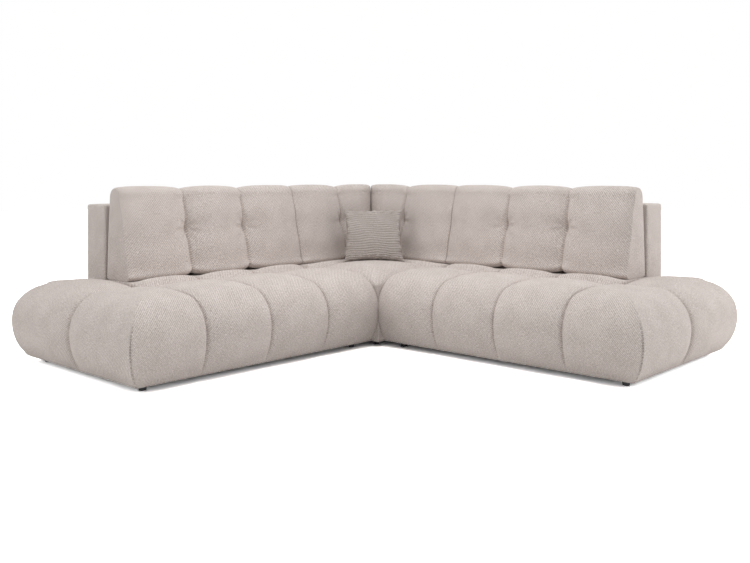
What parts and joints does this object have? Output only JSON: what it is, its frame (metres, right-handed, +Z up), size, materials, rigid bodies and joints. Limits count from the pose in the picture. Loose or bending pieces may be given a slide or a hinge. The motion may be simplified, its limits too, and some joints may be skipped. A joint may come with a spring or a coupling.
{
  "type": "corner sofa",
  "caption": "Low L-shaped corner sofa with puffed channelled seats open at both ends, loose wedge back cushions on flat back panels and a ribbed scatter pillow.",
  "frame": {"origin": "centre of the bounding box in plan, at floor level", "axes": "+Z up; the outer back corner lies towards -X and +Y, one wing runs along X with its back to +Y and the other along Y with its back to -X, and the seats face the inner corner towards +X and -Y"},
  "size_m": [2.595, 2.595, 0.88],
  "materials": {
    "seat_fabric": "soft woven chenille",
    "panel_fabric": "soft woven chenille",
    "cushion_fabric": "soft woven chenille",
    "pillow_fabric": "ribbed corduroy",
    "pillow_fibre": "loose fibre",
    "foam": "open cell foam",
    "strap_webbing": "elastic webbing",
    "frame_timber": "sawn softwood",
    "lining_cloth": "non-woven lining",
    "foot_plastic": "moulded matt",
    "fitting_steel": "zinc plated"
  },
  "bodies": {
    "sofa_base": {"left_seat_cover": "seat_fabric", "left_seat_foam": "foam", "left_seat_straps_along": "strap_webbing", "left_seat_straps_across": "strap_webbing", "left_seat_long_rails": "frame_timber", "left_seat_end_rails": "frame_timber", "left_seat_cross_rails": "frame_timber", "left_seat_corner_blocks": "frame_timber", "left_seat_lining": "lining_cloth", "left_seat_feet": "foot_plastic", "right_seat_cover": "seat_fabric", "right_seat_foam": "foam", "right_seat_straps_along": "strap_webbing", "right_seat_straps_across": "strap_webbing", "right_seat_long_rails": "frame_timber", "right_seat_end_rails": "frame_timber", "right_seat_cross_rails": "frame_timber", "right_seat_corner_blocks": "frame_timber", "right_seat_lining": "lining_cloth", "right_seat_feet": "foot_plastic", "corner_seat_cover": "seat_fabric", "corner_seat_foam": "foam", "corner_seat_straps_along": "strap_webbing", "corner_seat_straps_across": "strap_webbing", "corner_seat_long_rails": "frame_timber", "corner_seat_end_rails": "frame_timber", "corner_seat_cross_rails": "frame_timber", "corner_seat_corner_blocks": "frame_timber", "corner_seat_lining": "lining_cloth", "corner_seat_feet": "foot_plastic", "left_back_cover": "panel_fabric", "left_back_posts": "frame_timber", "left_back_rails": "frame_timber", "left_back_tongues": "fitting_steel", "right_back_cover": "panel_fabric", "right_back_posts": "frame_timber", "right_back_rails": "frame_timber", "right_back_tongues": "fitting_steel", "corner_left_back_cover": "panel_fabric", "corner_left_back_posts": "frame_timber", "corner_left_back_rails": "frame_timber", "corner_left_back_tongues": "fitting_steel", "corner_right_back_cover": "panel_fabric", "corner_right_back_posts": "frame_timber", "corner_right_back_rails": "frame_timber", "corner_right_back_tongues": "fitting_steel", "left_joining_plates": "fitting_steel", "right_joining_plates": "fitting_steel"},
    "left_cushion": {"left_cushion_cover": "cushion_fabric", "left_cushion_core": "foam"},
    "right_cushion": {"right_cushion_cover": "cushion_fabric", "right_cushion_core": "foam"},
    "left_corner_cushion": {"left_corner_cushion_cover": "cushion_fabric", "left_corner_cushion_core": "foam"},
    "right_corner_cushion": {"right_corner_cushion_cover": "cushion_fabric", "right_corner_cushion_core": "foam"},
    "scatter_pillow": {"pillow_cover": "pillow_fabric", "pillow_filling": "pillow_fibre"}
  },
  "joints": [
    {"name": "left_cushion_lift", "type": "slide", "parent": "sofa_base", "child": "left_cushion", "axis": [0, 0, 1], "range_m": [0, 0.4]},
    {"name": "right_cushion_lift", "type": "slide", "parent": "sofa_base", "child": "right_cushion", "axis": [0, 0, 1], "range_m": [0, 0.4]},
    {"name": "left_corner_cushion_lift", "type": "slide", "parent": "sofa_base", "child": "left_corner_cushion", "axis": [0, 0, 1], "range_m": [0, 0.4]},
    {"name": "right_corner_cushion_lift", "type": "slide", "parent": "sofa_base", "child": "right_corner_cushion", "axis": [0, 0, 1], "range_m": [0, 0.4]},
    {"name": "scatter_pillow_lift", "type": "slide", "parent": "sofa_base", "child": "scatter_pillow", "axis": [0, 0, 1], "range_m": [0, 0.5]}
  ]
}
